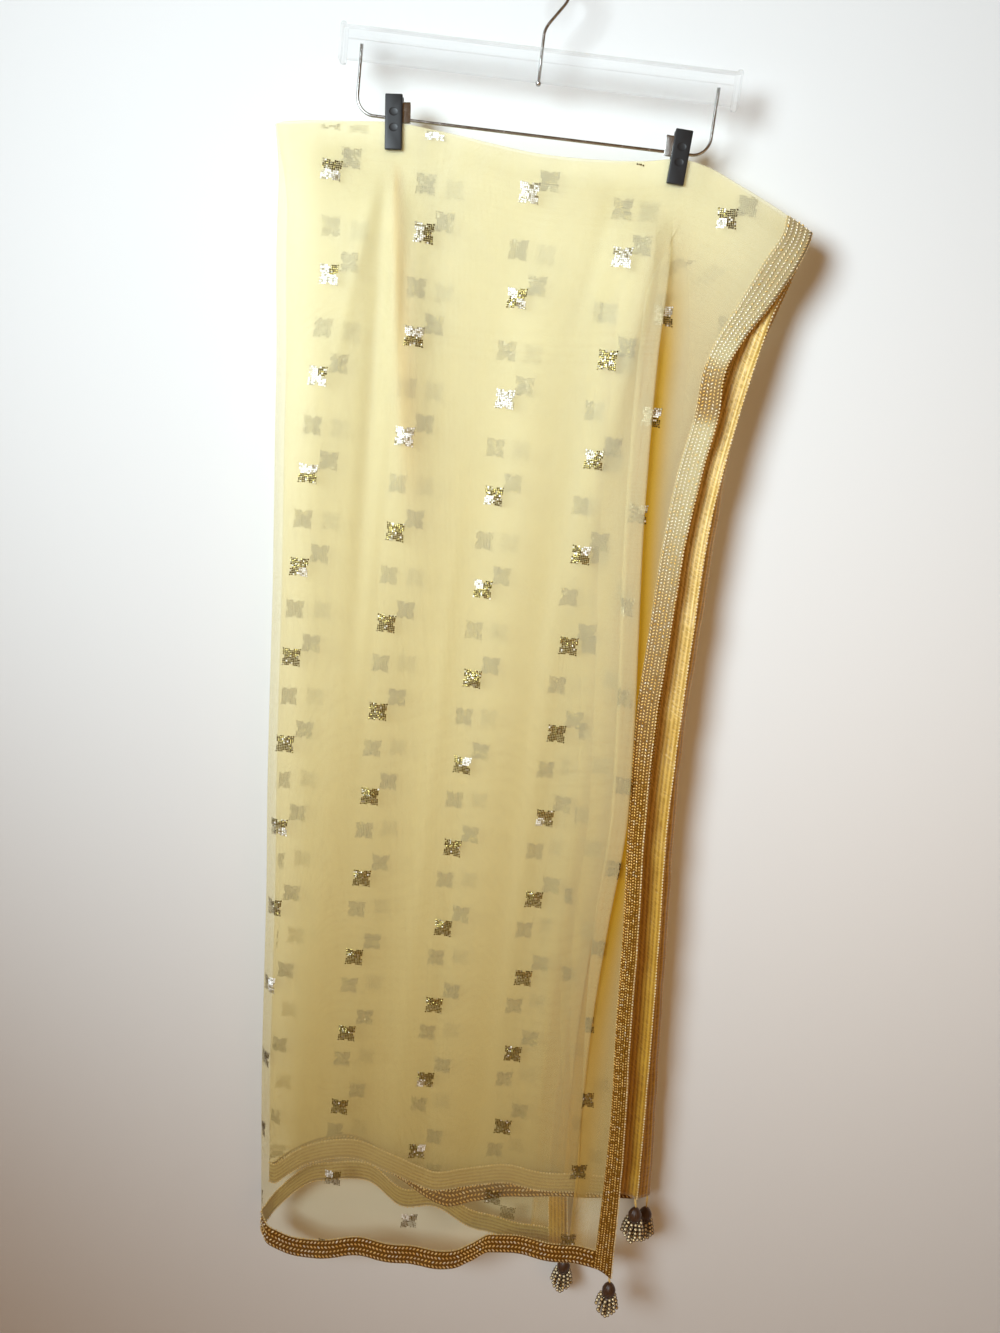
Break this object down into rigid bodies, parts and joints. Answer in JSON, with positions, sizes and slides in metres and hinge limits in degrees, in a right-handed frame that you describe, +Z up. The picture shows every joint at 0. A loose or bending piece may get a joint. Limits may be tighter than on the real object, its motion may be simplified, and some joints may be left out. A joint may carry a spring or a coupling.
{
  "type": "dupatta stole on clip hanger",
  "caption": "Long sheer net dupatta with sequinned motifs, beaded border tapes and corner tassels, folded in four and hung by its top fold from a clear clip hanger",
  "frame": {"origin": "Underside of the crown of the hanger's hook, where a rail carries it.", "axes": "+Z up, -Y towards the front of the stole, +X to the right seen from the front. The hanger's bar runs along X."},
  "size_m": [0.5601, 0.0777, 1.4929],
  "materials": {
    "net": "sheer pale yellow net with silver and pewter sequin motifs",
    "tape": "beaded and sequinned tape in old gold, yellow satin ribbon on its wrong side",
    "beads": "dark wound thread cap and shiny gold beads",
    "acrylic": "clear moulded plastic",
    "steel": "bright drawn wire",
    "clip_plastic": "black moulded plastic"
  },
  "bodies": {
    "root": {"layer_1_net": "net", "layer_1_hem_tape": "tape", "layer_1_side_tape": "tape", "tassel_1": "beads", "layer_2_net": "net", "layer_2_hem_tape": "tape", "layer_2_side_tape": "tape", "tassel_2": "beads", "layer_3_net": "net", "layer_3_hem_tape": "tape", "layer_3_side_tape": "tape", "tassel_3": "beads", "layer_4_net": "net", "layer_4_hem_tape": "tape", "layer_4_side_tape": "tape", "tassel_4": "beads", "hanger_bar": "acrylic", "hook": "steel", "bail_wire": "steel", "clip_left_front": "clip_plastic", "clip_left_back": "clip_plastic", "clip_left_spring": "steel", "clip_right_front": "clip_plastic", "clip_right_back": "clip_plastic", "clip_right_spring": "steel"}
  },
  "joints": []
}
